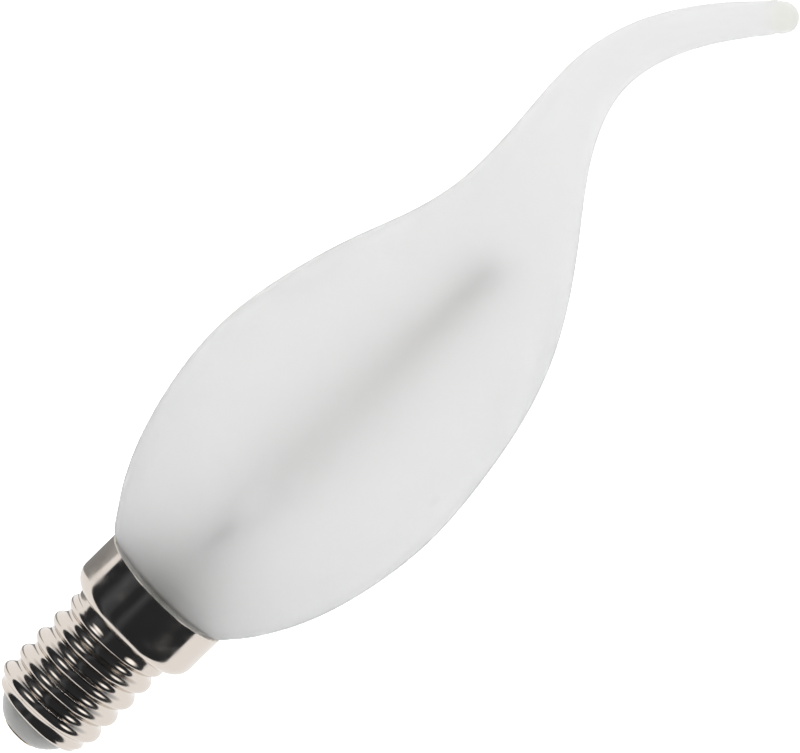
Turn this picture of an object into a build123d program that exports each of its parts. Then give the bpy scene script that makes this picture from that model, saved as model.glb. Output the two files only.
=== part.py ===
"""Matt candle bulb with a bent flame tip, on a small screw cap with a skirt.

Millimetres. +Z runs along the cap's axis from the centre contact to the glass tip, and the origin is the
middle of the contact's bottom face. The drawn-out neck leans to -X and its tip curls back to +X. The two
light filaments stand one before the other in the YZ plane.
"""

import os
from math import cos, pi

from build123d import *

# Screw cap
thread_pitch = 2.822
thread_major_diameter = 13.85
thread_minor_diameter = 12.25
first_crest_height = 4.7
thread_run_out = 1.1
sheet_thickness = 0.3
shell_bottom_height = 2.95
shell_end_diameter = 11.95
shell_hole_diameter = 10.0
shell_corner_radius = 0.4
waist_diameter = 13.4
waist_height = 18.0
collar_diameter = 17.3
collar_height = 6.9

# Insulator and centre contact
contact_diameter = 4.8
contact_standout = 0.3
contact_shank_diameter = 1.8
rivet_diameter = 2.8
rivet_height = 0.4
insulator_face_diameter = 5.6
insulator_bulge = 0.28
insulator_floor = 0.7
insulator_wall = 1.2
insulator_depth = 2.0
insulator_edge_radius = 0.5

# Glass envelope
bulb_diameter = 35.0
belly_height = 51.3
glass_wall = 0.6
glass_neck_length = 6.0
glass_neck_flare = 1.2
glass_seat_lift = 0.5
glass_seat_overhang = 0.35
cement_thickness = 0.85
cement_recess = 1.6
flank_diameter = 26.9
flank_share = 0.2664
lower_belly_diameter = 33.2
lower_belly_share = 0.6525
envelope_sections = 44

# Drawn-out neck of the envelope: lean from the axis, outer radius and rise above the belly of each station
drawn_neck = [
    (0.3, 16.35, 10.0),
    (0.2, 13.6, 20.6),
    (-2.1, 8.3, 33.0),
    (-6.05, 4.33, 45.0),
    (-7.25, 3.2, 53.0),
    (-5.4, 2.66, 60.5),
    (-0.35, 2.15, 68.5),
    (2.75, 1.9, 72.1),
]

# Glass stem
stem_tube_diameter = 8.4
stem_wall = 1.0
stem_tube_top = 29.9
flare_rim = 0.7
flare_height = 5.0
press_width = 9.0
press_thickness = 3.2
press_top = 37.3
press_pinch = 4.0
press_edge_radius = 0.5
stem_end_thickness = 0.6
vent_diameter = 1.4
vent_lift = 0.7
vent_depth = 2.0
exhaust_diameter = 3.0
exhaust_bore = 1.8
exhaust_bottom = 14.1

# Filaments and their wires
filament_width = 1.7
filament_depth = 1.4
filament_length = 37.4
filament_foot_height = 41.7
filament_foot_spacing = 8.6
filament_head_spacing = 2.8
tab_length = 2.0
tab_width = 0.9
tab_thickness = 0.25
lead_diameter = 0.5
lead_spacing = 4.8
post_diameter = 0.6
post_embedding = 3.0
weld_length = 1.6
lead_bend_radius = 0.6
lead_bend_lift = 1.2
lead_foot_reach = 0.9
bridge_reach = 0.7
bridge_bend_radius = 0.45

# Driver inside the cap
board_width = 10.0
board_height = 8.2
board_thickness = 0.8
board_lead_overlap = 1.8
board_corner_radius = 0.8
capacitor_diameter = 4.0
capacitor_length = 5.2
capacitor_edge_radius = 0.35
capacitor_lift = 0.9
resistor_diameter = 1.6
resistor_length = 4.6
resistor_offset = 3.4
resistor_lift = 0.6
resistor_edge_radius = 0.3
resistor_lead_rise = 0.7
chip_thickness = 1.3
chip_bevel = 0.2
chip_lift = 0.8
rectifier_offset = -0.9
rectifier_width = 4.0
rectifier_height = 4.6
regulator_width = 2.8
regulator_height = 3.0
regulator_offset = 3.1
shunt_width = 3.2
shunt_height = 1.6
shunt_thickness = 0.6
shunt_offset = 2.7
shunt_lift = 6.4
hookup_diameter = 0.5
hookup_bend_radius = 0.35
neutral_offset = -3.6
neutral_drop = 0.4
live_wire_rise = 0.6

# Clearances
seat_gap = 0.05

# Derived sizes of the cap
thread_mean_radius = (thread_major_diameter + thread_minor_diameter) / 4
thread_swing = (thread_major_diameter - thread_minor_diameter) / 4
shell_side_radius = shell_end_diameter / 2
shell_flat_radius = shell_side_radius - shell_corner_radius
waist_radius = waist_diameter / 2
collar_radius = collar_diameter / 2
collar_inner_radius = collar_radius - sheet_thickness
collar_corner_radius = collar_radius - waist_radius
rim_height = waist_height + collar_height
screw_bottom = shell_bottom_height + shell_corner_radius
screw_top = waist_height - thread_pitch / 4
sections_per_turn = 8
lip_top = shell_bottom_height + sheet_thickness
insulator_top = lip_top + insulator_depth
insulator_radius = shell_flat_radius
floor_top = lip_top + insulator_floor

# Derived sizes of the glass
seat_height = rim_height + glass_seat_lift
seat_radius = collar_radius + glass_seat_overhang
belly_rise = belly_height - seat_height
flank_height = seat_height + belly_rise * flank_share
lower_belly_height = seat_height + belly_rise * lower_belly_share
neck_bottom = rim_height - glass_neck_length
neck_radius = collar_inner_radius - cement_thickness
neck_inner_radius = neck_radius - glass_wall
stem_radius = stem_tube_diameter / 2
stem_bore_top = stem_tube_top - stem_end_thickness
lead_radius = lead_diameter / 2
hookup_radius = hookup_diameter / 2

# Derived places of the driver
board_face = -lead_radius
board_back = board_face - board_thickness
board_top = insulator_top + board_height


def screw_form(inset):
    """The rolled thread as a round bar whose section circles about the axis once in each pitch."""
    steps = round((screw_top - screw_bottom) / thread_pitch * sections_per_turn)
    with BuildPart() as form:
        for step in range(steps + 1):
            height = screw_bottom + (screw_top - screw_bottom) * step / steps
            to_bottom = height - screw_bottom
            to_top = screw_top - height
            share = min(1, to_bottom / thread_run_out, to_top / thread_run_out)
            depth = (1 - cos(pi * share)) / 2
            plain_radius = shell_side_radius if to_bottom < to_top else waist_radius
            radius = plain_radius + (thread_mean_radius - plain_radius) * depth
            turn = 180 + 360 * (height - first_crest_height) / thread_pitch
            centre = Vector(thread_swing * depth, 0, height).rotate(Axis.Z, turn)
            with BuildSketch(Plane(origin=centre, x_dir=(1, 0, 0), z_dir=(0, 0, 1))):
                Circle(radius - inset)
        loft()
    return form.part


def wire(points, radius, bend):
    """A round wire through the points, bent to the given radius at each corner."""
    with BuildPart() as form:
        with BuildLine() as path:
            FilletPolyline(*points, radius=bend)
        with BuildSketch(Plane(origin=path.line @ 0, z_dir=path.line % 0)):
            Circle(radius)
        sweep(path=path.line)
    return form.part


# Screw shell: the crimped bottom, the rolled thread, and the waist that opens into the collar
screw_outside = screw_form(0)
screw_inside = screw_form(sheet_thickness)

with BuildPart() as cap_shell:
    add(screw_outside)
    add(screw_inside, mode=Mode.SUBTRACT)
    with BuildSketch(Plane.XZ):
        with BuildLine() as bottom_line:
            lip = Line(
                (shell_hole_diameter / 2, shell_bottom_height), (shell_flat_radius, shell_bottom_height)
            )
            corner = RadiusArc(lip @ 1, (shell_side_radius, screw_bottom), -shell_corner_radius)
            inner_side = Line(corner @ 1, (shell_side_radius - sheet_thickness, screw_bottom))
            inner_corner = RadiusArc(
                inner_side @ 1, (shell_flat_radius, lip_top), shell_corner_radius - sheet_thickness
            )
            Polyline(inner_corner @ 1, (shell_hole_diameter / 2, lip_top), lip @ 0)
        make_face()
    revolve(axis=Axis.Z)
    with BuildSketch(Plane.XZ) as collar_section:
        with BuildLine() as collar_line:
            waist = Line((waist_radius, screw_top), (waist_radius, waist_height))
            bowl = RadiusArc(
                waist @ 1, (collar_radius, waist_height + collar_corner_radius), -collar_corner_radius
            )
            wall = Line(bowl @ 1, (collar_radius, rim_height))
            rim = Line(wall @ 1, (collar_inner_radius, rim_height))
            inner_wall = Line(rim @ 1, (collar_inner_radius, waist_height + collar_corner_radius))
            inner_bowl = RadiusArc(
                inner_wall @ 1,
                (waist_radius, waist_height + sheet_thickness),
                collar_corner_radius - sheet_thickness,
            )
            inner_waist = waist_radius - sheet_thickness
            inner_step = Line(inner_bowl @ 1, (inner_waist, waist_height + sheet_thickness))
            Polyline(inner_step @ 1, (inner_waist, screw_top), waist @ 0)
        make_face()
        outer_bend = collar_section.vertices().sort_by_distance((waist_radius, waist_height))[0]
        fillet(outer_bend, sheet_thickness)
        inner_bend = collar_section.vertices().sort_by_distance(inner_step @ 1)[0]
        fillet(inner_bend, sheet_thickness * 0.8)
    revolve(axis=Axis.Z)
    rim_edges = cap_shell.edges().filter_by(GeomType.CIRCLE).group_by(Axis.Z)[-1]
    fillet(rim_edges, sheet_thickness * 0.4)

# Moulded insulator: the bowl under the shell, the hole for the contact and the cup that holds the board
with BuildPart() as cap_insulator:
    with BuildSketch(Plane.XZ):
        with BuildLine():
            hole_radius = shell_hole_diameter / 2
            cup_radius = insulator_radius - insulator_wall
            face = Line(
                (contact_shank_diameter / 2, contact_standout), (insulator_face_diameter / 2, contact_standout)
            )
            bowl_side = SagittaArc(face @ 1, (hole_radius, shell_bottom_height), -insulator_bulge)
            Polyline(
                bowl_side @ 1,
                (hole_radius, lip_top),
                (insulator_radius, lip_top),
                (insulator_radius, insulator_top),
                (cup_radius, insulator_top),
                (cup_radius, floor_top),
                (contact_shank_diameter / 2, floor_top),
                face @ 0,
            )
        make_face()
    revolve(axis=Axis.Z)
    bowl_edges = cap_insulator.edges().filter_by(GeomType.CIRCLE).group_by(Axis.Z)[0].sort_by(SortBy.RADIUS)
    fillet(bowl_edges[-1], insulator_edge_radius)

# Centre contact: the face that touches the lampholder's spring, its shank and the rivet head inside
with BuildPart() as centre_contact:
    with Locations((0, 0, contact_standout / 2)):
        Cylinder(contact_diameter / 2, contact_standout)
    fillet(centre_contact.edges().group_by(Axis.Z)[0], contact_standout * 0.6)
    with Locations((0, 0, (contact_standout + floor_top) / 2)):
        Cylinder(contact_shank_diameter / 2, floor_top - contact_standout)
    with Locations((0, 0, floor_top + rivet_height / 2)):
        Cylinder(rivet_diameter / 2, rivet_height)

# Glass envelope: neck in the collar, round belly, drawn-out bent neck and the melted bead at its end
with BuildLine():
    envelope_guide = Spline(
        (0, seat_radius, seat_height),
        (0, flank_diameter / 2, flank_height),
        (0, lower_belly_diameter / 2, lower_belly_height),
        (0, bulb_diameter / 2, belly_height),
        *[(lean, radius, belly_height + rise) for lean, radius, rise in drawn_neck],
    )


def envelope_form(inset, length_share):
    """The envelope's outside, or with an inset the space inside its wall."""
    with BuildPart() as form:
        with BuildSketch(Plane.XZ):
            with BuildLine():
                seat = (seat_radius - inset, seat_height)
                neck_side = neck_radius - inset
                side = Line((neck_side, neck_bottom), (neck_side, rim_height - glass_neck_flare))
                Spline(side @ 1, seat, tangents=[(0, 1), (1, 0.35)])
                Polyline(seat, (0, seat_height), (0, neck_bottom), side @ 0)
            make_face()
        revolve(axis=Axis.Z)
        for section in range(envelope_sections + 1):
            place = envelope_guide @ (length_share * section / envelope_sections)
            heading = envelope_guide % (length_share * section / envelope_sections)
            plane = Plane(origin=(place.X, 0, place.Z), x_dir=(0, 1, 0), z_dir=(heading.X, 0, heading.Z))
            with BuildSketch(plane):
                Circle(place.Y - inset)
        loft()
    return form.part


envelope_outside = envelope_form(0, 1)
envelope_inside = envelope_form(glass_wall, 0.96)

with BuildPart() as glass_envelope:
    add(envelope_outside)
    add(envelope_inside, mode=Mode.SUBTRACT)
    tip = envelope_guide @ 1
    tip_heading = envelope_guide % 1
    tip_plane = Plane(origin=(tip.X, 0, tip.Z), x_dir=(0, 1, 0), z_dir=(tip_heading.X, 0, tip_heading.Z))
    with Locations(tip_plane):
        Sphere(tip.Y, arc_size1=0, align=(Align.CENTER, Align.CENTER, Align.MIN))

# Filament places: one plane for each, from its foot to its head
foot_gap = (filament_foot_spacing - filament_head_spacing) / 2
filament_rise = (filament_length**2 - foot_gap**2) ** 0.5
front_plane = Plane(
    origin=(0, -filament_foot_spacing / 2, filament_foot_height),
    x_dir=(1, 0, 0),
    z_dir=(0, foot_gap, filament_rise),
)
rear_plane = Plane(
    origin=(0, filament_foot_spacing / 2, filament_foot_height),
    x_dir=(-1, 0, 0),
    z_dir=(0, -foot_gap, filament_rise),
)
weld_offset = -(tab_thickness / 2 + lead_radius)


def lead_points(plane, side):
    """Corners of one lead wire, from the board up through the stem to the foot of its filament."""
    return [
        (0, side * lead_spacing / 2, board_top - board_lead_overlap),
        (0, side * lead_spacing / 2, press_top + lead_bend_lift),
        plane.from_local_coords((0, weld_offset, -lead_foot_reach)),
        plane.from_local_coords((0, weld_offset, weld_length)),
    ]


front_lead = wire(lead_points(front_plane, -1), lead_radius, lead_bend_radius)
rear_lead = wire(lead_points(rear_plane, 1), lead_radius, lead_bend_radius)

with BuildPart() as lead_wire_front:
    add(front_lead)

with BuildPart() as lead_wire_rear:
    add(rear_lead)

# Stem: flare melted to the neck, tube, and the press that closes it round the wires
with BuildPart() as glass_stem:
    with BuildSketch(Plane.XZ):
        with BuildLine():
            rim_side = Line((neck_inner_radius, neck_bottom), (neck_inner_radius, neck_bottom + flare_rim))
            flare = Spline(
                rim_side @ 1,
                (stem_radius, neck_bottom + flare_height),
                tangents=[(-1, 0.15), (0, 1)],
            )
            tube_side = Line(flare @ 1, (stem_radius, stem_tube_top))
            bore_radius = stem_radius - stem_wall
            Polyline(tube_side @ 1, (0, stem_tube_top), (0, neck_bottom), rim_side @ 0)
        make_face()
    revolve(axis=Axis.Z)
    with BuildSketch(Plane.XY.offset(stem_tube_top)):
        Circle(stem_radius)
    for share in (0.35, 0.7, 1.0):
        blend = share * share * (3 - 2 * share)
        with BuildSketch(Plane.XY.offset(stem_tube_top + press_pinch * share)):
            Ellipse(
                stem_radius + (press_thickness / 2 - stem_radius) * blend,
                stem_radius + (press_width / 2 - stem_radius) * blend,
            )
    loft()
    with BuildSketch(Plane.XY.offset(stem_tube_top + press_pinch)):
        Ellipse(press_thickness / 2, press_width / 2)
    extrude(amount=press_top - stem_tube_top - press_pinch)
    fillet(glass_stem.edges().group_by(Axis.Z)[-1], press_edge_radius)
    with BuildSketch(Plane.XZ):
        with BuildLine():
            inner_flare = Spline(
                (neck_inner_radius - flare_rim, neck_bottom),
                (bore_radius, neck_bottom + flare_height),
                tangents=[(-1, 0.4), (0, 1)],
            )
            Polyline(
                inner_flare @ 1,
                (bore_radius, stem_bore_top),
                (0, stem_bore_top),
                (0, neck_bottom),
                inner_flare @ 0,
            )
        make_face()
    revolve(axis=Axis.Z, mode=Mode.SUBTRACT)
    with BuildSketch(Plane.XY.offset(stem_bore_top)):
        Circle(exhaust_bore / 2)
    extrude(amount=vent_depth, mode=Mode.SUBTRACT)
    with BuildSketch(Plane.YZ):
        with Locations((0, stem_tube_top + vent_lift)):
            Circle(vent_diameter / 2)
    extrude(amount=stem_radius, mode=Mode.SUBTRACT)
    with Locations((0, 0, press_top - post_embedding)):
        Cylinder(
            post_diameter / 2,
            post_embedding,
            align=(Align.CENTER, Align.CENTER, Align.MIN),
            mode=Mode.SUBTRACT,
        )
    add(front_lead, mode=Mode.SUBTRACT)
    add(rear_lead, mode=Mode.SUBTRACT)

# Exhaust tube, melted shut at its lower end
with BuildPart() as exhaust_tube:
    tube_end = exhaust_bottom + exhaust_diameter / 2
    with Locations((0, 0, tube_end)):
        Cylinder(
            exhaust_diameter / 2,
            stem_bore_top - tube_end,
            align=(Align.CENTER, Align.CENTER, Align.MIN),
        )
        Sphere(exhaust_diameter / 2)
        Cylinder(
            exhaust_bore / 2,
            stem_bore_top - tube_end,
            align=(Align.CENTER, Align.CENTER, Align.MIN),
            mode=Mode.SUBTRACT,
        )

# Wire bridge that joins the two filament heads, and the post that carries it
bridge_low = filament_length - weld_length
bridge_high = filament_length + bridge_reach
bridge = wire(
    [
        front_plane.from_local_coords((0, weld_offset, bridge_low)),
        front_plane.from_local_coords((0, weld_offset, bridge_high)),
        rear_plane.from_local_coords((0, weld_offset, bridge_high)),
        rear_plane.from_local_coords((0, weld_offset, bridge_low)),
    ],
    lead_radius,
    bridge_bend_radius,
)

with BuildPart() as filament_bridge:
    add(bridge)

bridge_underside = front_plane.from_local_coords((0, weld_offset, bridge_high)).Z - lead_radius

with BuildPart() as support_post:
    with Locations((0, 0, press_top - post_embedding)):
        Cylinder(
            post_diameter / 2,
            bridge_underside - press_top + post_embedding,
            align=(Align.CENTER, Align.CENTER, Align.MIN),
        )

# Coated light filaments with a metal tab at each end
filament_pieces = {}
for side, plane in (("front", front_plane), ("rear", rear_plane)):
    with BuildPart() as coat:
        with BuildSketch(plane.offset(tab_length)):
            Ellipse(filament_width / 2, filament_depth / 2)
        extrude(amount=filament_length - 2 * tab_length)
    filament_pieces[f"filament_{side}"] = coat
    for end, start in (("foot", 0), ("head", filament_length - tab_length)):
        with BuildPart() as tab:
            with BuildSketch(plane.offset(start)):
                Rectangle(tab_width, tab_thickness)
            extrude(amount=tab_length)
        filament_pieces[f"{end}_tab_{side}"] = tab

# Cement between the glass neck and the collar
with BuildPart() as basing_cement:
    cement_bottom = waist_height + collar_corner_radius
    cement_top = rim_height - cement_recess
    with BuildSketch(Plane.XY.offset(cement_bottom)):
        Circle(collar_inner_radius)
        Circle(neck_radius, mode=Mode.SUBTRACT)
    extrude(amount=cement_top - cement_bottom)

# Driver board standing on the insulator's cup
board_middle = (board_face + board_back) / 2
with BuildPart() as driver_board:
    with Locations((board_middle, 0, insulator_top + board_height / 2)):
        Box(board_thickness, board_width, board_height)
    fillet(driver_board.edges().filter_by(Axis.X).group_by(Axis.Z)[-1], board_corner_radius)

# Parts on the board's back
with BuildPart() as bridge_rectifier:
    rectifier_middle = insulator_top + chip_lift + rectifier_height / 2
    with Locations((board_back - chip_thickness / 2, rectifier_offset, rectifier_middle)):
        Box(chip_thickness, rectifier_width, rectifier_height)
    chamfer(bridge_rectifier.faces().sort_by(Axis.X)[0].edges(), chip_bevel)

with BuildPart() as driver_chip:
    regulator_middle = insulator_top + chip_lift + regulator_height / 2
    with Locations((board_back - chip_thickness / 2, regulator_offset, regulator_middle)):
        Box(chip_thickness, regulator_width, regulator_height)
    chamfer(driver_chip.faces().sort_by(Axis.X)[0].edges(), chip_bevel)

with BuildPart() as shunt_resistor:
    with Locations((board_back - shunt_thickness / 2, shunt_offset, insulator_top + shunt_lift)):
        Box(shunt_thickness, shunt_width, shunt_height)

# Parts on the board's face
with BuildPart() as smoothing_capacitor:
    capacitor_x = board_face + capacitor_diameter / 2 + seat_gap
    capacitor_bottom = insulator_top + capacitor_lift
    with Locations((capacitor_x, 0, capacitor_bottom + capacitor_length / 2)):
        Cylinder(capacitor_diameter / 2, capacitor_length)
    fillet(smoothing_capacitor.edges().filter_by(GeomType.CIRCLE), capacitor_edge_radius)
    for side in (-1, 1):
        with BuildSketch(Plane.YZ.offset(board_face)):
            with Locations((side * capacitor_diameter / 5, capacitor_bottom)):
                Circle(hookup_radius * 0.8)
        extrude(amount=capacitor_diameter / 2)

with BuildPart() as fusible_resistor:
    resistor_x = board_face + resistor_diameter / 2 + seat_gap
    resistor_bottom = insulator_top + resistor_lift
    with Locations((resistor_x, resistor_offset, resistor_bottom + resistor_length / 2)):
        Cylinder(resistor_diameter / 2, resistor_length)
    fillet(fusible_resistor.edges().filter_by(GeomType.CIRCLE), resistor_edge_radius)

resistor_top = resistor_bottom + resistor_length
resistor_end = wire(
    [
        (resistor_x, resistor_offset, resistor_top),
        (resistor_x, resistor_offset, resistor_top + resistor_lead_rise),
        (board_face, resistor_offset, resistor_top + resistor_lead_rise),
    ],
    hookup_radius,
    hookup_bend_radius,
)

with BuildPart() as resistor_lead:
    add(resistor_end)

# Live wire from the rivet to the fusible resistor, and neutral wire from the board to the shell's waist
live_level = floor_top + rivet_height + live_wire_rise
live = wire(
    [
        (0, 0, floor_top + rivet_height),
        (0, 0, live_level),
        (resistor_x, resistor_offset, live_level),
        (resistor_x, resistor_offset, resistor_bottom),
    ],
    hookup_radius,
    hookup_bend_radius,
)

with BuildPart() as live_wire:
    add(live)

neutral_x = board_back - hookup_radius
neutral_reach = ((waist_radius - sheet_thickness - seat_gap) ** 2 - (neutral_x - hookup_radius) ** 2) ** 0.5
neutral_level = waist_height - neutral_drop
neutral = wire(
    [
        (neutral_x, neutral_offset, board_top - board_lead_overlap),
        (neutral_x, neutral_offset, neutral_level),
        (neutral_x, -neutral_reach, neutral_level),
    ],
    hookup_radius,
    hookup_bend_radius,
)

with BuildPart() as neutral_wire:
    add(neutral)

pieces = {
    "cap_shell": cap_shell,
    "cap_insulator": cap_insulator,
    "centre_contact": centre_contact,
    "basing_cement": basing_cement,
    "glass_envelope": glass_envelope,
    "glass_stem": glass_stem,
    "exhaust_tube": exhaust_tube,
    "lead_wire_front": lead_wire_front,
    "lead_wire_rear": lead_wire_rear,
    "support_post": support_post,
    "filament_bridge": filament_bridge,
    **filament_pieces,
    "driver_board": driver_board,
    "bridge_rectifier": bridge_rectifier,
    "driver_chip": driver_chip,
    "shunt_resistor": shunt_resistor,
    "smoothing_capacitor": smoothing_capacitor,
    "fusible_resistor": fusible_resistor,
    "resistor_lead": resistor_lead,
    "live_wire": live_wire,
    "neutral_wire": neutral_wire,
}

os.makedirs("parts", exist_ok=True)
for label, piece in pieces.items():
    piece.part.label = label
    export_step(piece.part, f"parts/{label}.step")
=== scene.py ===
"""Candle bulb with a matt glass and a bent flame tip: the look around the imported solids.

Laid out as an add-on: the sizes and colours are properties, each piece or group of like pieces has its own
operator, and a panel in the sidebar lists them. Metres, in the frame of the solids: +Z runs along the cap's
axis from the centre contact to the glass tip, and the neck of the flame leans to -X.
"""

from math import atan2, cos, exp, pi, radians, sin

import bpy
from bpy.props import FloatProperty, FloatVectorProperty, IntProperty, PointerProperty
from mathutils import Matrix, Vector


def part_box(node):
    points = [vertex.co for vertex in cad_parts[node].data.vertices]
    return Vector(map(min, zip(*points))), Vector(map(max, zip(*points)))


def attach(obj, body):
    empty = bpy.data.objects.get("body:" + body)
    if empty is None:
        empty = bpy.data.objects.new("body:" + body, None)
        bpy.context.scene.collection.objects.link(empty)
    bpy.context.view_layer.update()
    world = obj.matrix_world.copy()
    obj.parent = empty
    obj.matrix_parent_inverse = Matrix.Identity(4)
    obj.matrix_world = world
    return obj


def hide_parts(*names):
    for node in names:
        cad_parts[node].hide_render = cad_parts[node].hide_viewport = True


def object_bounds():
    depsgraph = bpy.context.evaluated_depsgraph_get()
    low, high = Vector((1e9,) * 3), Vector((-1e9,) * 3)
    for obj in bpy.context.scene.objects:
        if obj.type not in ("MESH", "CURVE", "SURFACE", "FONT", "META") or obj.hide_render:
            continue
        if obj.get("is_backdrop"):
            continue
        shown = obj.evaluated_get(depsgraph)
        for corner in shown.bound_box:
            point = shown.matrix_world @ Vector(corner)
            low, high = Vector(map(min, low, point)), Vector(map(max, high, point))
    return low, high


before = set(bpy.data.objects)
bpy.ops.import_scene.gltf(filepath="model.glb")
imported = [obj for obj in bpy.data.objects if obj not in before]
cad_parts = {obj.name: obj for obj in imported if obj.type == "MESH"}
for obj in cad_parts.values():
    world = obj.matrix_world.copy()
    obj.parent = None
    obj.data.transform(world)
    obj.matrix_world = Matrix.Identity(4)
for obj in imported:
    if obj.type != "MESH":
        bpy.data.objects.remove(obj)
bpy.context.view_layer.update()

bl_info = {
    "name": "Candle bulb",
    "version": (1, 0, 0),
    "blender": (4, 5, 0),
    "location": "View3D > Sidebar > Candle bulb",
    "description": "Builds the look of a matt candle bulb around its packed solids",
    "category": "Object",
}

MM = 0.001
GLASS_LOW, GLASS_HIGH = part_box("glass_envelope")
SHELL_LOW, SHELL_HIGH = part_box("cap_shell")

# Place of the faint finger mark on the belly, as the photograph shows it
SMUDGE_PLACE = Vector((14.65, -9.4, 56.8)) * MM

# Stations of the drawn-out flame: lean from the axis, radius and rise above the belly, in millimetres
FLAME_STATIONS = [
    (0.3, 16.35, 10.0),
    (0.2, 13.6, 20.6),
    (-2.1, 8.3, 33.0),
    (-6.05, 4.33, 45.0),
    (-7.25, 3.2, 53.0),
    (-5.4, 2.66, 60.5),
    (-0.35, 2.15, 68.5),
    (2.75, 1.9, 72.1),
]

# Share of light that the etched glass lets through, by the share of the height from the collar to the tip
LIGHT_PASSED = [(0.006, 1), (0.014, 0.92), (0.2, 0.96), (0.55, 0.96), (0.75, 0.99)]

# Glints that mirrors see in the dark room at the camera, by the angle in degrees, with the camera at 0
ROOM_GLINTS = [(-66, 0), (-52, 0.06), (-36, 0.03), (-30, 0), (-20, 0), (-12, 0.05), (-2, 0)]


def linear(code):
    """Linear colour of an sRGB hex value."""
    channels = [int(code[place : place + 2], 16) / 255 for place in (1, 3, 5)]
    return [c / 12.92 if c <= 0.04045 else ((c + 0.055) / 1.055) ** 2.4 for c in channels]


def length(name, description, millimetres):
    """A length property whose default is given in millimetres."""
    return FloatProperty(
        name=name, description=description, default=millimetres * MM, unit="LENGTH", precision=5
    )


def level(name, description, amount):
    """A plain number that can't fall below zero."""
    return FloatProperty(name=name, description=description, default=amount, min=0)


def angle(name, description, degrees):
    """An angle property whose default is given in degrees."""
    return FloatProperty(name=name, description=description, default=radians(degrees), subtype="ANGLE")


def colour(name, description, code):
    """A colour property whose default is given as an sRGB hex value."""
    return FloatVectorProperty(
        name=name, description=description, default=linear(code), subtype="COLOR", min=0, max=1, size=3
    )


class GlassSizes(bpy.types.PropertyGroup):
    """Sizes of the blown glass"""

    wall: length("Wall", "Thickness of the blown glass", 0.6)
    seat_radius: length("Seat radius", "Radius where the glass sits over the collar's rim", 9.0)
    seat_lift: length("Seat lift", "Height of that place over the rim", 0.5)
    neck_drop: length("Neck drop", "Depth in the collar at which the neck begins to widen", 1.5)
    flank_radius: length("Flank radius", "Radius a quarter of the way from the seat to the belly", 13.45)
    lower_belly_radius: length("Lower belly radius", "Radius two thirds of the way to the belly", 16.6)
    belly_height: length("Belly height", "Height of the widest place", 51.3)
    neck_radius: length("Neck radius", "Radius of the neck inside the collar", 7.5)
    notch_depth: length("Notch depth", "Depth of the notch under the melted bead", 0.2)
    notch_width: length("Notch width", "Reach of the notch to either side", 0.45)
    bead_length: length("Bead length", "Length of the melted bead at the tip", 3.1)
    etch_grain: length("Etch grain", "Width of the etched grain, drawn coarse enough to show", 0.35)
    clear_edge: length("Clear edge", "Height of the band over the collar that is left clear", 1.0)
    etch_cloud: length("Etch cloud", "Width of the faint clouds in the etch", 16.7)
    smudge_radius: length("Smudge radius", "Radius of the finger mark on the belly", 1.0)
    roughness: level("Etch", "Roughness of the etched glass", 0.65)
    refraction: level("Refraction", "Bending of light at the etch", 1.3)
    stem_refraction: level("Stem refraction", "Bending of light in the thin stem", 1.15)
    segments: IntProperty(name="Segments", description="Segments round the cage", default=20, min=8)


class CapSizes(bpy.types.PropertyGroup):
    """Sizes of the screw cap"""

    pitch: length("Pitch", "Pitch of the rolled thread", 2.822)
    major_diameter: length("Major diameter", "Diameter over the thread's crests", 13.85)
    minor_diameter: length("Minor diameter", "Diameter at the thread's roots", 12.25)
    first_crest: length("First crest", "Height of the lowest crest on the -X side", 4.7)
    run_out: length("Run-out", "Length over which the thread fades at its ends", 1.1)
    sheet: length("Sheet", "Thickness of the drawn sheet", 0.3)
    end_radius: length("End radius", "Radius of the shell under the thread", 5.975)
    hole_radius: length("Hole radius", "Radius of the hole for the insulator", 5.0)
    corner_radius: length("Corner radius", "Radius of the bend at the shell's bottom", 0.4)
    waist_radius: length("Waist radius", "Radius of the plain waist over the thread", 6.7)
    waist_height: length("Waist height", "Height where the waist opens into the collar", 18.0)
    edge_radius: length("Edge radius", "Rounding of the sheet's cut edges", 0.1)
    rings_per_turn: IntProperty(
        name="Rings", description="Rings in one turn of the thread", default=24, min=8
    )
    segments: IntProperty(name="Segments", description="Segments round the shell", default=112, min=32)


class Finishes(bpy.types.PropertyGroup):
    """Colours of the materials"""

    glass: colour("Glass", "Etched soda-lime glass", "#FEFEFE")
    bead: colour("Bead", "Glass of the melted bead, burnt a little yellow", "#FDFDF9")
    smudge: colour("Smudge", "Faint finger mark on the belly", "#F7F7F7")
    stem_glass: colour("Stem glass", "Clear lead-free stem glass", "#FDFEFD")
    nickel: colour("Nickel", "Bright nickel plate on brass", "#DFD6CD")
    insulator: colour("Insulator", "Moulded light grey insulator", "#DADAD7")
    contact: colour("Contact", "Tinned brass contact", "#CDBB95")
    cement: colour("Cement", "Basing cement", "#F4F0E6")
    # The wire's dark grey is painted shade, darker than bare nickel, to deepen its shadow through the matt
    # glass
    wire: colour("Wire", "Drawn nickel wire", "#45433F")
    tinned_wire: colour("Tinned wire", "Tinned copper wire", "#D3D1CB")
    filament: colour("Filament", "Silicone coat with phosphor", "#ADAAA4")
    board: colour("Board", "White mask on glass-fibre laminate", "#F2F3EF")
    chip: colour("Chip", "Black moulded chip", "#2A2A2B")
    sleeve: colour("Sleeve", "Shrunk capacitor sleeve", "#2E3140")
    lacquer: colour("Lacquer", "Resistor lacquer", "#7F9992")


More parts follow.
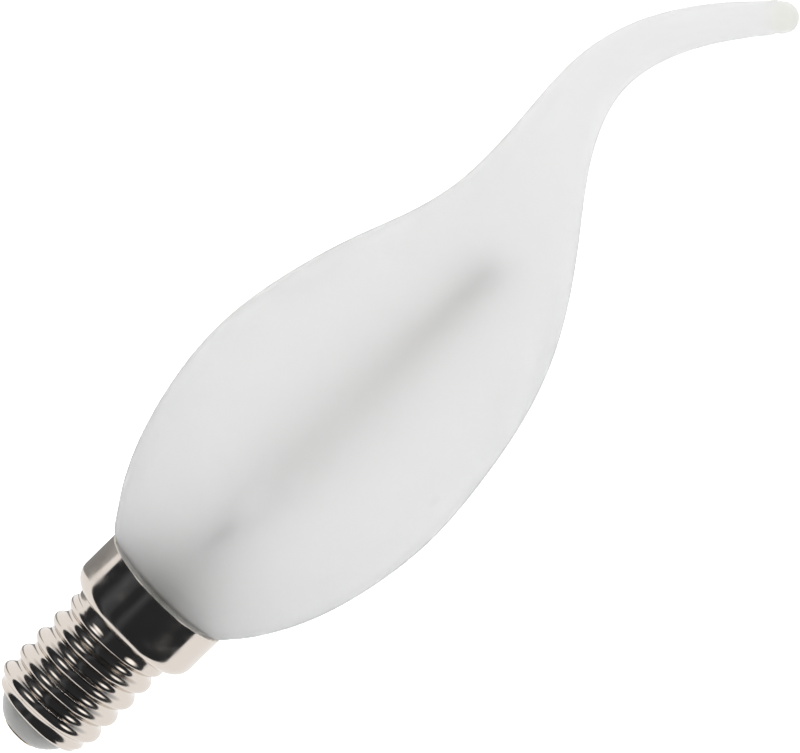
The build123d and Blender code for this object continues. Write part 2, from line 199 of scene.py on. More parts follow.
class StageSettings(bpy.types.PropertyGroup):
    """Camera, backdrop and lights"""

    elevation: angle("Elevation", "Camera's angle over the horizon", 12.2)
    roll: angle("Roll", "Camera's turn about its own axis", 45.58)
    distance: length("Distance", "Camera's distance from the bulb", 1359)
    picture_width: length("Picture width", "Width that the picture shows at the bulb", 92.3)
    aim_offset: FloatVectorProperty(
        name="Aim",
        description="Picture's middle from the box's middle",
        default=(1.43 * MM, 0, -0.59 * MM),
        subtype="TRANSLATION",
        size=3,
    )
    floor_drop: length("Floor drop", "Height of the bulb's contact over the floor", 150)
    floor_width: length("Floor width", "Side of the square floor", 6000)
    floor: colour("Floor", "White paint of the floor", "#E7E7E7")
    dark_side: level("Dark side", "Brightness of the dark room that mirrors see at the camera", 0.03)
    shade: colour("Shade", "Tone of the dark room", "#E9F2FF")
    room: level("Room", "Brightness of the light from the camera's side", 0.28)
    through: level("Through", "Brightness of the camera's side through glass", 0.65)
    sides: level("Sides", "Brightness of the light from the sides", 1.0)
    behind: level("Behind", "Brightness straight behind the bulb", 0.84)
    softbox: level("Softbox", "Brightness of the two small softboxes", 1.4)
    grey_card: level("Grey card", "Brightness of the grey card behind the cap", 0.28)
    bounces: IntProperty(name="Bounces", description="Turns of light in the glass", default=32, min=8)


def fill(node, inputs):
    """Fills a node's inputs, each with a plain value or with the socket it is linked from."""
    for name, value in inputs.items():
        if isinstance(value, bpy.types.NodeSocket):
            node.id_data.links.new(value, node.inputs[name])
        else:
            node.inputs[name].default_value = value


def add(tree, kind, inputs=None, stops=None, **settings):
    """Adds a node with its settings and inputs, and stops that fill a colour ramp with greys."""
    made = tree.nodes.new(kind)
    for name, value in settings.items():
        setattr(made, name, value)
    fill(made, inputs or {})
    for count, (place, grey) in enumerate(stops or []):
        elements = made.color_ramp.elements
        element = elements[count] if count < 2 else elements.new(place)
        element.position = place
        element.color = (grey, grey, grey, 1)
    return made


def bare_tree(holder):
    """The emptied node tree of a material or a world."""
    holder.use_nodes = True
    holder.node_tree.nodes.clear()
    return holder.node_tree


def new_material(name):
    """A material, its node tree and its shader, which the caller fills."""
    material = bpy.data.materials.new(name)
    tree = bare_tree(material)
    shader = add(tree, "ShaderNodeBsdfPrincipled")
    add(tree, "ShaderNodeOutputMaterial", {"Surface": shader.outputs[0]})
    return material, tree, shader


def etched_glass(glass, finishes, tip):
    """Soda-lime glass, etched matt on both sides.

    An even grain blurs what is behind it to a soft shadow. A narrow band over the collar is left clearer,
    the melted bead is creamy, and a faint finger mark lies on the belly.
    """
    material, tree, shader = new_material("etched soda-lime glass")
    place = add(tree, "ShaderNodeTexCoord").outputs["Object"]
    height = add(tree, "ShaderNodeSeparateXYZ", {"Vector": place}).outputs["Z"]
    grain = add(
        tree, "ShaderNodeTexNoise", {"Vector": place, "Scale": 1 / glass.etch_grain, "Detail": 3.0}
    ).outputs[0]
    cloud = add(
        tree, "ShaderNodeTexNoise", {"Vector": place, "Scale": 1 / glass.etch_cloud, "Detail": 2.0}
    ).outputs[0]
    unevenness = 0.02
    etch = add(
        tree,
        "ShaderNodeMapRange",
        {
            "Value": cloud,
            "From Min": 0.3,
            "From Max": 0.7,
            "To Min": glass.roughness - unevenness,
            "To Max": glass.roughness + unevenness,
        },
    ).outputs[0]
    edge = SHELL_HIGH.z + glass.clear_edge
    clearer = 0.7
    over_edge = add(
        tree,
        "ShaderNodeMapRange",
        {"Value": height, "From Min": edge - 0.4 * MM, "From Max": edge + 0.6 * MM, "To Min": clearer},
        interpolation_type="SMOOTHSTEP",
    ).outputs[0]
    bead_radius = FLAME_STATIONS[-1][1] * MM
    bead_fade = 0.3 * MM
    from_tip = add(tree, "ShaderNodeVectorMath", {0: place, 1: tip}, operation="DISTANCE").outputs["Value"]
    bead = add(
        tree,
        "ShaderNodeMapRange",
        {
            "Value": from_tip,
            "From Min": bead_radius + 0.1 * MM - bead_fade,
            "From Max": bead_radius + 0.1 * MM + bead_fade,
            "To Min": 1.0,
            "To Max": 0.0,
        },
    ).outputs[0]
    plain_tint = add(
        tree,
        "ShaderNodeMix",
        {"Factor": bead, "A": (*finishes.glass, 1), "B": (*finishes.bead, 1)},
        data_type="RGBA",
    ).outputs["Result"]
    from_mark = add(
        tree, "ShaderNodeVectorMath", {0: place, 1: SMUDGE_PLACE}, operation="DISTANCE"
    ).outputs["Value"]
    mark = add(
        tree,
        "ShaderNodeMapRange",
        {
            "Value": from_mark,
            "From Min": glass.smudge_radius / 2,
            "From Max": glass.smudge_radius,
            "To Min": 1.0,
            "To Max": 0.0,
        },
    ).outputs[0]
    tint = add(
        tree,
        "ShaderNodeMix",
        {"Factor": mark, "A": plain_tint, "B": (*finishes.smudge, 1)},
        data_type="RGBA",
    ).outputs["Result"]
    along = add(
        tree, "ShaderNodeMapRange", {"Value": height, "From Min": SHELL_HIGH.z, "From Max": GLASS_HIGH.z}
    ).outputs[0]
    passed = add(tree, "ShaderNodeValToRGB", {"Fac": along}, stops=LIGHT_PASSED).outputs[0]
    roughness = add(tree, "ShaderNodeMath", {0: etch, 1: over_edge}, operation="MULTIPLY").outputs[0]
    bump = add(
        tree, "ShaderNodeBump", {"Height": grain, "Strength": 0.05, "Distance": 0.05 * MM}
    ).outputs[0]
    fill(shader, {"Base Color": tint, "Roughness": roughness, "Normal": bump})
    fill(shader, {"Transmission Weight": passed, "IOR": glass.refraction})
    return material


def stem_glass(tint, refraction):
    """Clear glass of the stem: smooth and bright edged, with faint waves from the flame that melted it."""
    material, tree, shader = new_material("clear stem glass")
    wave_width = 2.5 * MM
    place = add(tree, "ShaderNodeTexCoord").outputs["Object"]
    waves = add(
        tree, "ShaderNodeTexNoise", {"Vector": place, "Scale": 1 / wave_width, "Detail": 1.0}
    ).outputs[0]
    bump = add(tree, "ShaderNodeBump", {"Height": waves, "Strength": 0.2, "Distance": 0.1 * MM}).outputs[0]
    fill(shader, {"Base Color": (*tint, 1), "Roughness": 0.02, "Normal": bump})
    fill(shader, {"Transmission Weight": 1.0, "IOR": refraction})
    return material


def nickel_plate(finishes):
    """Bright nickel on drawn brass: a warm mirror with faint draw lines along the axis and a dull film."""
    material, tree, shader = new_material("bright nickel plate")
    line_width = 0.455 * MM
    line_stretch = (1, 1, 0.08)
    film_width = 2.22 * MM
    place = add(tree, "ShaderNodeTexCoord").outputs["Object"]
    drawn = add(tree, "ShaderNodeMapping", {"Vector": place, "Scale": line_stretch}).outputs[0]
    lines = add(
        tree, "ShaderNodeTexNoise", {"Vector": drawn, "Scale": 1 / line_width, "Detail": 2.0}
    ).outputs[0]
    film = add(
        tree, "ShaderNodeTexNoise", {"Vector": place, "Scale": 1 / film_width, "Detail": 4.0}
    ).outputs[0]
    dulled = add(
        tree,
        "ShaderNodeMapRange",
        {"Value": film, "From Min": 0.35, "From Max": 0.75, "To Min": 0.08, "To Max": 0.24},
    ).outputs[0]
    bump = add(tree, "ShaderNodeBump", {"Height": lines, "Strength": 0.06, "Distance": 0.02 * MM}).outputs[0]
    fill(shader, {"Base Color": (*finishes.nickel, 1), "Metallic": 1.0})
    fill(shader, {"Roughness": dulled, "Normal": bump})
    return material


def moulded(name, base, roughness, speckle, depth):
    """A moulded or lacquered surface: one colour with a fine speckle and a soft skin."""
    material, tree, shader = new_material(name)
    place = add(tree, "ShaderNodeTexCoord").outputs["Object"]
    grains = add(
        tree, "ShaderNodeTexNoise", {"Vector": place, "Scale": 1 / speckle, "Detail": 3.0}
    ).outputs[0]
    shade = add(
        tree,
        "ShaderNodeMapRange",
        {"Value": grains, "From Min": 0.3, "From Max": 0.7, "To Min": 1 - depth, "To Max": 1},
    ).outputs[0]
    tint = add(
        tree, "ShaderNodeVectorMath", {0: tuple(base), "Scale": shade}, operation="SCALE"
    ).outputs[0]
    bump = add(
        tree, "ShaderNodeBump", {"Height": grains, "Strength": 0.15, "Distance": 0.05 * MM}
    ).outputs[0]
    fill(shader, {"Base Color": tint, "Roughness": roughness, "Normal": bump})
    return material


def metal(name, base, roughness, grain):
    """A drawn or stamped metal: its colour with fine lines along the axis."""
    material, tree, shader = new_material(name)
    line_stretch = (1, 1, 0.1)
    unevenness = 0.08
    place = add(tree, "ShaderNodeTexCoord").outputs["Object"]
    drawn = add(tree, "ShaderNodeMapping", {"Vector": place, "Scale": line_stretch}).outputs[0]
    lines = add(tree, "ShaderNodeTexNoise", {"Vector": drawn, "Scale": 1 / grain, "Detail": 2.0}).outputs[0]
    spread = add(
        tree,
        "ShaderNodeMapRange",
        {"Value": lines, "To Min": roughness - unevenness, "To Max": roughness + unevenness},
    ).outputs[0]
    fill(shader, {"Base Color": (*base, 1), "Metallic": 1.0, "Roughness": spread})
    return material


def dress(material, *names):
    """Gives CAD nodes a better material in their own slot."""
    for name in names:
        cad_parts[name].material_slots[0].material = material


def finish_modifier(piece, kind, **settings):
    """Adds one modifier to a piece and applies it."""
    modifier = piece.modifiers.new(kind.lower(), kind)
    for name, value in settings.items():
        setattr(modifier, name, value)
    bpy.ops.object.modifier_apply(modifier=modifier.name)


def drawn_skin(name, rings, segments, closed):
    """A skin drawn out of one circle, ring by ring. A ring is its centre, radius and tilt about Y."""
    bpy.ops.object.select_all(action="DESELECT")
    centre, radius, tilt = rings[0]
    bpy.ops.mesh.primitive_circle_add(vertices=segments, radius=radius, location=centre)
    skin = bpy.context.object
    skin.name = name
    skin.data.name = name
    bpy.ops.object.transform_apply()
    bpy.ops.object.mode_set(mode="EDIT")
    for next_centre, next_radius, next_tilt in rings[1:]:
        bpy.ops.mesh.extrude_region_move(TRANSFORM_OT_translate={"value": next_centre - centre})
        share = next_radius / radius
        bpy.ops.transform.resize(value=(share, share, share), center_override=next_centre)
        bpy.ops.transform.rotate(value=tilt - next_tilt, orient_axis="Y", center_override=next_centre)
        centre, radius, tilt = next_centre, next_radius, next_tilt
    if closed:
        bpy.ops.mesh.merge(type="COLLAPSE")
    bpy.ops.mesh.select_all(action="SELECT")
    bpy.ops.mesh.normals_make_consistent(inside=False)
    bpy.ops.object.mode_set(mode="OBJECT")
    return skin


def take_place(piece, node):
    """Sets a finished piece in the place of its CAD node."""
    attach(piece, "root")
    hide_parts(node)


class CANDLE_OT_glass_envelope(bpy.types.Operator):
    """Blows the matt glass with its belly, its bent flame and the melted bead at the tip"""

    bl_idname = "candle.glass_envelope"
    bl_label = "Glass envelope"
    bl_options = {"REGISTER", "UNDO"}

    def execute(self, context):
        glass = context.scene.candle_glass
        seat = SHELL_HIGH.z + glass.seat_lift
        rise = glass.belly_height - seat
        flank_share, lower_belly_share = 0.2664, 0.6525
        stations = [
            (0, glass.neck_radius, GLASS_LOW.z),
            (0, glass.neck_radius, SHELL_HIGH.z - glass.neck_drop),
            (0, glass.seat_radius, seat),
            (0, glass.flank_radius, seat + rise * flank_share),
            (0, glass.lower_belly_radius, seat + rise * lower_belly_share),
            (0, GLASS_HIGH.y, glass.belly_height),
        ]
        stations += [(x * MM, r * MM, glass.belly_height + z * MM) for x, r, z in FLAME_STATIONS]
        centres = [Vector((lean, 0, height)) for lean, radius, height in stations]
        tilts = []
        for place, centre in enumerate(centres):
            before = centres[max(place - 1, 0)]
            after = centres[min(place + 1, len(centres) - 1)]
            tilts.append(atan2(after.x - before.x, after.z - before.z))
        # The cage stands off the glass a little, and the subdivided skin is wrapped back onto it
        cage_share, cage_room = 1.06, 0.25 * MM
        rings = [
            (centre, radius * cage_share + cage_room, tilt)
            for centre, (lean, radius, height), tilt in zip(centres, stations, tilts)
        ]
        tip, tip_tilt = centres[-1], tilts[-1]
        heading = Vector((sin(tip_tilt), 0, cos(tip_tilt)))
        end_radius = stations[-1][1] * cage_share + cage_room
        for turn in (radians(40), radians(70)):
            rings.append((tip + heading * end_radius * sin(turn), end_radius * cos(turn), tip_tilt))
        pole_radius = end_radius * 0.1
        rings.append((tip + heading * end_radius, pole_radius, tip_tilt))
        skin = drawn_skin("glass_bulb", rings, glass.segments, True)
        finish_modifier(skin, "SUBSURF", levels=3, render_levels=3)
        finish_modifier(
            skin, "SHRINKWRAP", target=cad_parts["glass_envelope"], wrap_method="NEAREST_SURFACEPOINT"
        )
        finish_modifier(skin, "SMOOTH", factor=0.5, iterations=3)
        # The notch lies on the inside of the curl, where the bead ends
        underside = Vector((heading.z, 0, -heading.x))
        smallest = 0.01 * MM
        for vertex in skin.data.vertices:
            out = vertex.co - tip
            along = out.dot(heading)
            near = exp(-(((along + glass.bead_length - end_radius) / glass.notch_width) ** 2))
            across = out - heading * along
            below = max(0, across.dot(underside)) / max(across.length, smallest)
            vertex.co -= underside * glass.notch_depth * near * below**2
        finishes = context.scene.candle_finishes
        skin.data.materials.append(etched_glass(glass, finishes, tip))
        finish_modifier(skin, "SOLIDIFY", thickness=glass.wall, offset=-1)
        bpy.ops.object.shade_smooth_by_angle(angle=radians(40))
        take_place(skin, "glass_envelope")
        return {"FINISHED"}


class CANDLE_OT_cap_shell(bpy.types.Operator):
    """Draws and rolls the nickel-plated screw shell with its waist and collar"""

    bl_idname = "candle.cap_shell"
    bl_label = "Screw shell"
    bl_options = {"REGISTER", "UNDO"}

    def execute(self, context):
        cap = context.scene.candle_cap
        mean = (cap.major_diameter + cap.minor_diameter) / 4
        swing = (cap.major_diameter - cap.minor_diameter) / 4
        flat = cap.end_radius - cap.corner_radius
        bottom = SHELL_LOW.z
        screw_low = bottom + cap.corner_radius
        screw_high = cap.waist_height - cap.pitch / 4
        collar_radius = SHELL_HIGH.x
        bowl = collar_radius - cap.waist_radius
        profile = [(cap.hole_radius, bottom), ((cap.hole_radius + flat) / 2, bottom), (flat, bottom)]
        corner_steps = 6
        for step in range(1, corner_steps):
            turn = radians(90) * step / corner_steps
            radius = flat + cap.corner_radius * sin(turn)
            profile.append((radius, screw_low - cap.corner_radius * cos(turn)))
        count = round((screw_high - screw_low) / cap.pitch * cap.rings_per_turn)
        for step in range(count + 1):
            profile.append((mean, screw_low + (screw_high - screw_low) * step / count))
        # The corner where the waist meets the bowl under the collar is slightly eased
        profile += [
            (cap.waist_radius, cap.waist_height - 0.3 * MM),
            (cap.waist_radius, cap.waist_height - 0.1 * MM),
            (cap.waist_radius + 0.15 * MM, cap.waist_height),
        ]
        bowl_steps = 9
        for step in range(1, bowl_steps + 1):
            turn = radians(90) * step / bowl_steps
            radius = cap.waist_radius + bowl * sin(turn)
            profile.append((radius, cap.waist_height + bowl * (1 - cos(turn))))
        wall = SHELL_HIGH.z - cap.waist_height - bowl
        for share in (0.03, 0.15, 0.5, 0.85, 0.95, 0.98, 1):
            profile.append((collar_radius, cap.waist_height + bowl + wall * share))
        rings = [(Vector((0, 0, height)), radius, 0) for radius, height in profile]
        skin = drawn_skin("screw_shell", rings, cap.segments, False)
        # Crests and roots are arcs that meet halfway, and the thread fades out at both ends
        arc = ((cap.pitch / 4) ** 2 + swing**2) / (2 * swing)
        slack = 0.01 * MM
        for vertex in skin.data.vertices:
            x, y, height = vertex.co
            from_low = height - screw_low
            from_high = screw_high - height
            if min(from_low, from_high) < -slack:
                continue
            share = max(0, min(1, from_low / cap.run_out, from_high / cap.run_out))
            depth = (1 - cos(pi * share)) / 2
            plain = cap.end_radius if from_low < from_high else cap.waist_radius
            turns = atan2(y, x) / (2 * pi) - 0.5 - (height - cap.first_crest) / cap.pitch
            from_crest = abs(turns - round(turns)) * cap.pitch
            from_root = cap.pitch / 2 - from_crest
            nearest = min(from_crest, from_root)
            rise = swing - arc + (arc**2 - nearest**2) ** 0.5
            roll = rise if from_crest < from_root else -rise
            radius = plain + (mean + roll - plain) * depth
            vertex.co.x *= radius / mean
            vertex.co.y *= radius / mean
        finish_modifier(skin, "SOLIDIFY", thickness=cap.sheet, offset=-1)
        finish_modifier(
            skin, "BEVEL", width=cap.edge_radius, segments=2, limit_method="ANGLE", angle_limit=radians(60)
        )
        bpy.ops.object.shade_smooth_by_angle(angle=radians(50))
        skin.data.materials.append(nickel_plate(context.scene.candle_finishes))
        take_place(skin, "cap_shell")
        return {"FINISHED"}


class CANDLE_OT_cap_end(bpy.types.Operator):
    """Finishes the insulator, the centre contact and the cement of the cap"""

    bl_idname = "candle.cap_end"
    bl_label = "Insulator, contact and cement"
    bl_options = {"REGISTER", "UNDO"}

    def execute(self, context):
        finishes = context.scene.candle_finishes
        # Moulded light grey plastic: satin, with a faint speckle
        grey = finishes.insulator
        plastic = moulded("moulded grey plastic", grey, roughness=0.22, speckle=0.3 * MM, depth=0.06)
        dress(plastic, "cap_insulator")
        # Stamped brass, tinned: dull and slightly yellow
        brass = metal("tinned brass", finishes.contact, roughness=0.32, grain=0.15 * MM)
        dress(brass, "centre_contact")
        # Baked basing cement: dull and grainy
        cement = moulded("basing cement", finishes.cement, roughness=0.95, speckle=0.4 * MM, depth=0.25)
        dress(cement, "basing_cement")
        return {"FINISHED"}


class CANDLE_OT_stem(bpy.types.Operator):
    """Finishes the clear glass stem and its exhaust tube"""

    bl_idname = "candle.stem"
    bl_label = "Glass stem"
    bl_options = {"REGISTER", "UNDO"}

    def execute(self, context):
        tint = context.scene.candle_finishes.stem_glass
        clear = stem_glass(tint, context.scene.candle_glass.stem_refraction)
        dress(clear, "glass_stem", "exhaust_tube")
        return {"FINISHED"}


class CANDLE_OT_filaments(bpy.types.Operator):
    """Finishes the coated filaments, their tabs and the wires that carry them"""

    bl_idname = "candle.filaments"
    bl_label = "Filaments and wires"
    bl_options = {"REGISTER", "UNDO"}

    def execute(self, context):
        finishes = context.scene.candle_finishes
        # Silicone with phosphor powder: soft, dull and grainy
        coat = moulded("phosphor silicone", finishes.filament, roughness=0.6, speckle=0.4 * MM, depth=0.2)
        dress(coat, "filament_front", "filament_rear")
        # Drawn nickel wire: dark grey with fine lines along it. The dark grey, darker than bare nickel, is
        # painted shade that deepens the wires' shadow through the matt glass
        wire = metal("drawn nickel wire with painted shade", finishes.wire, roughness=0.3, grain=0.1 * MM)
        dress(wire, "lead_wire_front", "lead_wire_rear", "support_post", "filament_bridge")
        dress(wire, "foot_tab_front", "foot_tab_rear", "head_tab_front", "head_tab_rear")
        return {"FINISHED"}


class CANDLE_OT_driver(bpy.types.Operator):
    """Finishes the small driver inside the cap"""

    bl_idname = "candle.driver"
    bl_label = "Driver"
    bl_options = {"REGISTER", "UNDO"}

    def execute(self, context):
        finishes = context.scene.candle_finishes
        # Glass-fibre laminate under a white mask: satin, with the weave just showing
        laminate = moulded("masked laminate", finishes.board, roughness=0.4, speckle=0.5 * MM, depth=0.1)
        dress(laminate, "driver_board")
        # Moulded epoxy: black and matt
        epoxy = moulded("moulded epoxy", finishes.chip, roughness=0.6, speckle=0.2 * MM, depth=0.3)
        dress(epoxy, "bridge_rectifier", "driver_chip")
        # Glaze over a thick-film resistor: black and glossy
        glaze = moulded("glazed chip", finishes.chip, roughness=0.25, speckle=0.3 * MM, depth=0.2)
        dress(glaze, "shunt_resistor")
        # Shrunk sleeve: dark and glossy
        sleeve = moulded("shrunk sleeve", finishes.sleeve, roughness=0.25, speckle=0.6 * MM, depth=0.15)
        dress(sleeve, "smoothing_capacitor")
        # Fireproof lacquer: dull green-grey
        lacquer = moulded("fireproof lacquer", finishes.lacquer, roughness=0.7, speckle=0.25 * MM, depth=0.2)
        dress(lacquer, "fusible_resistor")
        # Tinned copper: pale and soft
        copper = metal("tinned copper", finishes.tinned_wire, roughness=0.35, grain=0.1 * MM)
        dress(copper, "resistor_lead", "live_wire", "neutral_wire")
        return {"FINISHED"}


def direction(azimuth, elevation):
    """Unit vector to a place in the studio. Azimuth 0 is at the camera and grows to the right."""
    level = cos(elevation)
    return Vector((sin(azimuth) * level, -cos(azimuth) * level, sin(elevation)))


def card(name, aim, azimuth, elevation, distance, width, height, brightness, soft):
    """A card of light that looks at the aim, bright in its middle and soft towards its edges."""
    towards = direction(azimuth, elevation)
    turn = towards.to_track_quat("Z", "Y").to_euler()
    bpy.ops.mesh.primitive_plane_add(size=1, location=aim + towards * distance, rotation=turn)
    made = bpy.context.object
    made.name = name
    made.scale = (width, height, 1)
    material = bpy.data.materials.new(name)
    tree = bare_tree(material)
    half = 0.5
    place = add(tree, "ShaderNodeTexCoord").outputs["Object"]
    out = add(tree, "ShaderNodeVectorMath", {0: place}, operation="LENGTH").outputs["Value"]
    light = add(
        tree,
        "ShaderNodeMapRange",
        {"Value": out, "From Min": half * (1 - soft), "From Max": half, "To Min": brightness, "To Max": 0.0},
        interpolation_type="SMOOTHSTEP",
    ).outputs[0]
    glow = add(tree, "ShaderNodeEmission", {"Strength": light})
    clear = add(tree, "ShaderNodeBsdfTransparent")
    outside = add(tree, "ShaderNodeMath", {0: out, 1: half}, operation="GREATER_THAN").outputs[0]
    both = add(tree, "ShaderNodeMixShader", {"Fac": outside, 1: glow.outputs[0], 2: clear.outputs[0]})
    add(tree, "ShaderNodeOutputMaterial", {"Surface": both.outputs[0]})
    made.data.materials.append(material)
    made.visible_camera = False
    made.visible_shadow = False
    made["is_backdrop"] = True
    return made


def studio_world(stage):
    """White sweep behind the bulb, the dimmer room at the camera, and what mirrors see of the two."""
    world = bpy.data.worlds.new("studio")
    bpy.context.scene.world = world
    tree = bare_tree(world)
    way = add(tree, "ShaderNodeTexCoord").outputs["Generated"]
    parts = add(tree, "ShaderNodeSeparateXYZ", {"Vector": way})
    across, depth, height = (parts.outputs[axis] for axis in "XYZ")
    path = add(tree, "ShaderNodeLightPath")
    # Soft light: it falls off towards the camera, less so through glass, and dips straight behind the bulb
    near_side = add(
        tree,
        "ShaderNodeMapRange",
        {"Value": path.outputs["Is Transmission Ray"], "To Min": stage.room, "To Max": stage.through},
    ).outputs[0]
    beside = add(
        tree,
        "ShaderNodeMapRange",
        {"Value": depth, "From Min": -0.5, "From Max": 0.3, "To Min": near_side, "To Max": stage.sides},
        interpolation_type="SMOOTHSTEP",
    ).outputs[0]
    behind = add(
        tree,
        "ShaderNodeMapRange",
        {"Value": depth, "From Min": 0.4, "From Max": 1.0, "To Min": stage.sides, "To Max": stage.behind},
    ).outputs[0]
    soft = add(tree, "ShaderNodeMath", {0: beside, 1: behind}, operation="MINIMUM").outputs[0]
    # Mirrors see the sweep end beside the bulb, a white table below and a darker ceiling above
    wall = add(
        tree,
        "ShaderNodeMapRange",
        {"Value": depth, "From Min": -0.03, "From Max": 0.02, "To Min": stage.dark_side},
        interpolation_type="SMOOTHSTEP",
    ).outputs[0]
    table = add(
        tree, "ShaderNodeMapRange", {"Value": height, "From Min": -0.9, "From Max": -0.94}
    ).outputs[0]
    bright = add(tree, "ShaderNodeMath", {0: wall, 1: table}, operation="MAXIMUM").outputs[0]
    ceiling = add(
        tree,
        "ShaderNodeMapRange",
        {"Value": height, "From Min": 0.6, "From Max": 0.9, "To Min": 1.0, "To Max": 0.25},
    ).outputs[0]
    sweep = add(tree, "ShaderNodeMath", {0: bright, 1: ceiling}, operation="MULTIPLY").outputs[0]
    # Faint glints of the room at the camera, by their angle about the bulb
    forward = add(tree, "ShaderNodeMath", {0: depth, 1: -1.0}, operation="MULTIPLY").outputs[0]
    azimuth = add(tree, "ShaderNodeMath", {0: across, 1: forward}, operation="ARCTAN2").outputs[0]
    turn = add(tree, "ShaderNodeMapRange", {"Value": azimuth, "From Min": -pi, "From Max": pi}).outputs[0]
    room = add(
        tree,
        "ShaderNodeValToRGB",
        {"Fac": turn},
        stops=[((degrees + 180) / 360, grey) for degrees, grey in ROOM_GLINTS],
    ).outputs[0]
    mirrored = add(tree, "ShaderNodeMath", {0: sweep, 1: room}, operation="ADD").outputs[0]
    mirror = add(
        tree,
        "ShaderNodeMath",
        {0: path.outputs["Is Glossy Ray"], 1: path.outputs["Is Transmission Ray"]},
        operation="SUBTRACT",
        use_clamp=True,
    ).outputs[0]
    shone = add(tree, "ShaderNodeMix", {"Factor": mirror, "A": soft, "B": mirrored}).outputs["Result"]
    # The camera sees plain white, and only mirrors see the tone of the dark room
    strength = add(
        tree, "ShaderNodeMath", {0: shone, 1: path.outputs["Is Camera Ray"]}, operation="MAXIMUM"
    ).outputs[0]
    plain = add(tree, "ShaderNodeMath", {0: 1.0, 1: mirror}, operation="SUBTRACT").outputs[0]
    lit = add(tree, "ShaderNodeMath", {0: sweep, 1: plain}, operation="MAXIMUM").outputs[0]
    tone = add(
        tree, "ShaderNodeMix", {"Factor": lit, "A": (*stage.shade, 1), "B": (1, 1, 1, 1)}, data_type="RGBA"
    ).outputs["Result"]
    background = add(tree, "ShaderNodeBackground", {"Color": tone, "Strength": strength})
    add(tree, "ShaderNodeOutputWorld", {"Surface": background.outputs[0]})


def floor_paint(base):
    """White painted floor: it keeps the bulb's soft shadow, reads as white, and is open from below."""
    material, tree, shader = new_material("white painted floor")
    place = add(tree, "ShaderNodeTexCoord").outputs["Object"]
    mottle_width = 33 * MM
    mottle = add(tree, "ShaderNodeTexNoise", {"Vector": place, "Scale": 1 / mottle_width}).outputs[0]
    grain = add(tree, "ShaderNodeMapRange", {"Value": mottle, "To Min": 0.55, "To Max": 0.65}).outputs[0]
    fill(shader, {"Base Color": (*base, 1), "Roughness": grain})
    path = add(tree, "ShaderNodeLightPath")
    glow = add(tree, "ShaderNodeEmission", {"Strength": path.outputs["Is Camera Ray"]})
    both = add(tree, "ShaderNodeAddShader", {0: shader.outputs[0], 1: glow.outputs[0]})
    below = add(tree, "ShaderNodeNewGeometry").outputs["Backfacing"]
    open_below = add(tree, "ShaderNodeBsdfTransparent")
    mixed = add(tree, "ShaderNodeMixShader", {"Fac": below, 1: both.outputs[0], 2: open_below.outputs[0]})
    output = next(node for node in tree.nodes if node.type == "OUTPUT_MATERIAL")
    fill(output, {"Surface": mixed.outputs[0]})
    return material


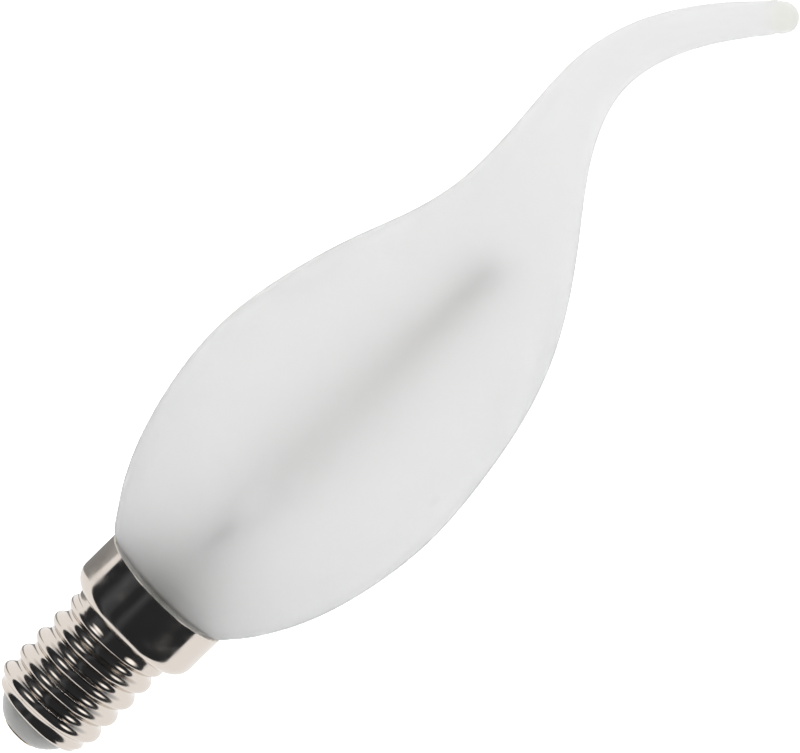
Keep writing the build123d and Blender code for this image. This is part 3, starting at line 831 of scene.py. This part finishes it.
class CANDLE_OT_stage(bpy.types.Operator):
    """Sets up the camera at the photograph's view, the white sweep, the floor and the lights"""

    bl_idname = "candle.stage"
    bl_label = "Stage"
    bl_options = {"REGISTER", "UNDO"}

    def execute(self, context):
        stage = context.scene.candle_stage
        low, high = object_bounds()
        middle = (low + high) / 2
        bpy.ops.object.select_all(action="DESELECT")
        floor_place = (0, 0, low.z - stage.floor_drop)
        bpy.ops.mesh.primitive_plane_add(size=stage.floor_width, location=floor_place)
        floor = context.object
        floor.name = "floor"
        floor.data.materials.append(floor_paint(stage.floor))
        floor.visible_diffuse = False
        floor.visible_glossy = False
        floor.visible_transmission = False
        floor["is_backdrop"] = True
        studio_world(stage)
        cap_middle = Vector((0, 0, SHELL_HIGH.z / 2))
        for name, azimuth, width in (("left_softbox", -38, 0.40), ("right_softbox", 57, 0.38)):
            card(
                name,
                cap_middle,
                azimuth=radians(azimuth),
                elevation=radians(12),
                distance=0.6,
                width=width,
                height=0.50,
                brightness=stage.softbox,
                soft=0.7,
            )
        # Low strip beyond the cap's left side, which darkens the edges of the collar and the crests
        grey = card(
            "grey_card",
            cap_middle,
            azimuth=radians(-139),
            elevation=radians(-10.5),
            distance=0.16,
            width=0.26,
            height=0.026,
            brightness=stage.grey_card,
            soft=0.2,
        )
        grey.visible_diffuse = False
        grey.visible_transmission = False
        right = Vector((1, 0, 0))
        up = Vector((0, sin(stage.elevation), cos(stage.elevation)))
        back = Vector((0, -cos(stage.elevation), sin(stage.elevation)))
        across = right * cos(stage.roll) + up * sin(stage.roll)
        upright = up * cos(stage.roll) - right * sin(stage.roll)
        turn = Matrix((across, upright, back)).transposed().to_euler()
        aim = middle + Vector(stage.aim_offset)
        bpy.ops.object.camera_add(location=aim + back * stage.distance, rotation=turn)
        camera = context.object
        camera.name = "camera"
        camera.data.lens = camera.data.sensor_width * stage.distance / stage.picture_width
        camera.data.clip_end = 20
        context.scene.camera = camera
        context.scene.view_settings.view_transform = "Standard"
        # Light turns many times inside the glass wall before it leaves
        context.scene.cycles.max_bounces = stage.bounces
        context.scene.cycles.glossy_bounces = stage.bounces // 2
        context.scene.cycles.transmission_bounces = stage.bounces
        return {"FINISHED"}


class CANDLE_PT_panel(bpy.types.Panel):
    """Lists the bulb's pieces with their sizes and colours"""

    bl_idname = "CANDLE_PT_panel"
    bl_label = "Candle bulb"
    bl_space_type = "VIEW_3D"
    bl_region_type = "UI"
    bl_category = "Candle bulb"

    def draw(self, context):
        for operator in OPERATORS:
            self.layout.operator(operator.bl_idname)
        for group in GROUPS:
            settings = getattr(context.scene, group)
            box = self.layout.box()
            for name in settings.__annotations__:
                box.prop(settings, name)


OPERATORS = (
    CANDLE_OT_glass_envelope,
    CANDLE_OT_cap_shell,
    CANDLE_OT_cap_end,
    CANDLE_OT_stem,
    CANDLE_OT_filaments,
    CANDLE_OT_driver,
    CANDLE_OT_stage,
)
GROUPS = {
    "candle_glass": GlassSizes,
    "candle_cap": CapSizes,
    "candle_finishes": Finishes,
    "candle_stage": StageSettings,
}


def register():
    for group in GROUPS.values():
        bpy.utils.register_class(group)
    for name, group in GROUPS.items():
        setattr(bpy.types.Scene, name, PointerProperty(type=group))
    for operator in OPERATORS:
        bpy.utils.register_class(operator)
    bpy.utils.register_class(CANDLE_PT_panel)


def unregister():
    bpy.utils.unregister_class(CANDLE_PT_panel)
    for operator in reversed(OPERATORS):
        bpy.utils.unregister_class(operator)
    for name, group in GROUPS.items():
        delattr(bpy.types.Scene, name)
        bpy.utils.unregister_class(group)


def main():
    register()
    bpy.ops.candle.glass_envelope()
    bpy.ops.candle.cap_shell()
    bpy.ops.candle.cap_end()
    bpy.ops.candle.stem()
    bpy.ops.candle.filaments()
    bpy.ops.candle.driver()
    bpy.ops.candle.stage()


if __name__ == "__main__":
    main()
